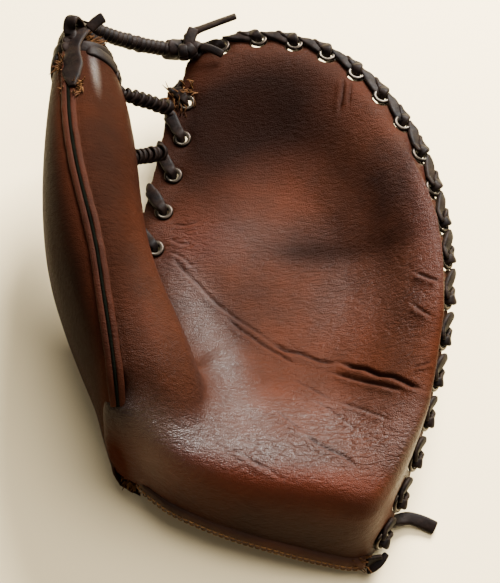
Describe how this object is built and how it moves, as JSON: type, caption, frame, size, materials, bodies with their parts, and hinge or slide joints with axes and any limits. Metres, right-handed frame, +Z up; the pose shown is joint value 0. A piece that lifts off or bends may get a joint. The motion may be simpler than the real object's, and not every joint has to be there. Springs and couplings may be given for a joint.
{
  "type": "first baseman mitt",
  "caption": "Vintage padded leather first baseman's mitt for the left hand, lying palm up, with a laced edge, eyelets, a folded thumb stall and a web of lace bars.",
  "frame": {"origin": "on the surface that the mitt lies on, under the middle of its bounding box", "axes": "+X from the thumb to the outer edge, +Y from the heel to the fingertips, +Z up out of the pocket"},
  "size_m": [0.2128, 0.3048, 0.11],
  "materials": {
    "leather": "worn, satin",
    "binding": "worn, satin",
    "lace": "dark rawhide, satin",
    "welt": "dark, matte",
    "eyelet": "worn nickel"
  },
  "bodies": {
    "root": {"palm": "leather", "thumb_face": "leather", "back": "leather", "thumb_welt": "welt", "heel_binding": "binding", "wrist_strap": "leather", "edge_lace": "lace", "web_lace": "lace", "corner_lace": "lace", "thumb_lace": "lace", "thumb_tie": "lace", "web_bar_1": "lace", "web_bar_2": "lace", "web_bar_3": "lace", "eyelet_01": "eyelet", "eyelet_02": "eyelet", "eyelet_03": "eyelet", "eyelet_04": "eyelet", "eyelet_05": "eyelet", "eyelet_06": "eyelet", "eyelet_07": "eyelet", "eyelet_08": "eyelet", "eyelet_09": "eyelet", "eyelet_10": "eyelet", "eyelet_11": "eyelet", "eyelet_12": "eyelet", "eyelet_13": "eyelet", "eyelet_14": "eyelet", "eyelet_15": "eyelet", "eyelet_16": "eyelet", "eyelet_17": "eyelet", "eyelet_18": "eyelet", "web_eyelet_1": "eyelet", "web_eyelet_2": "eyelet", "web_eyelet_3": "eyelet", "web_eyelet_4": "eyelet", "web_eyelet_5": "eyelet"}
  },
  "joints": []
}
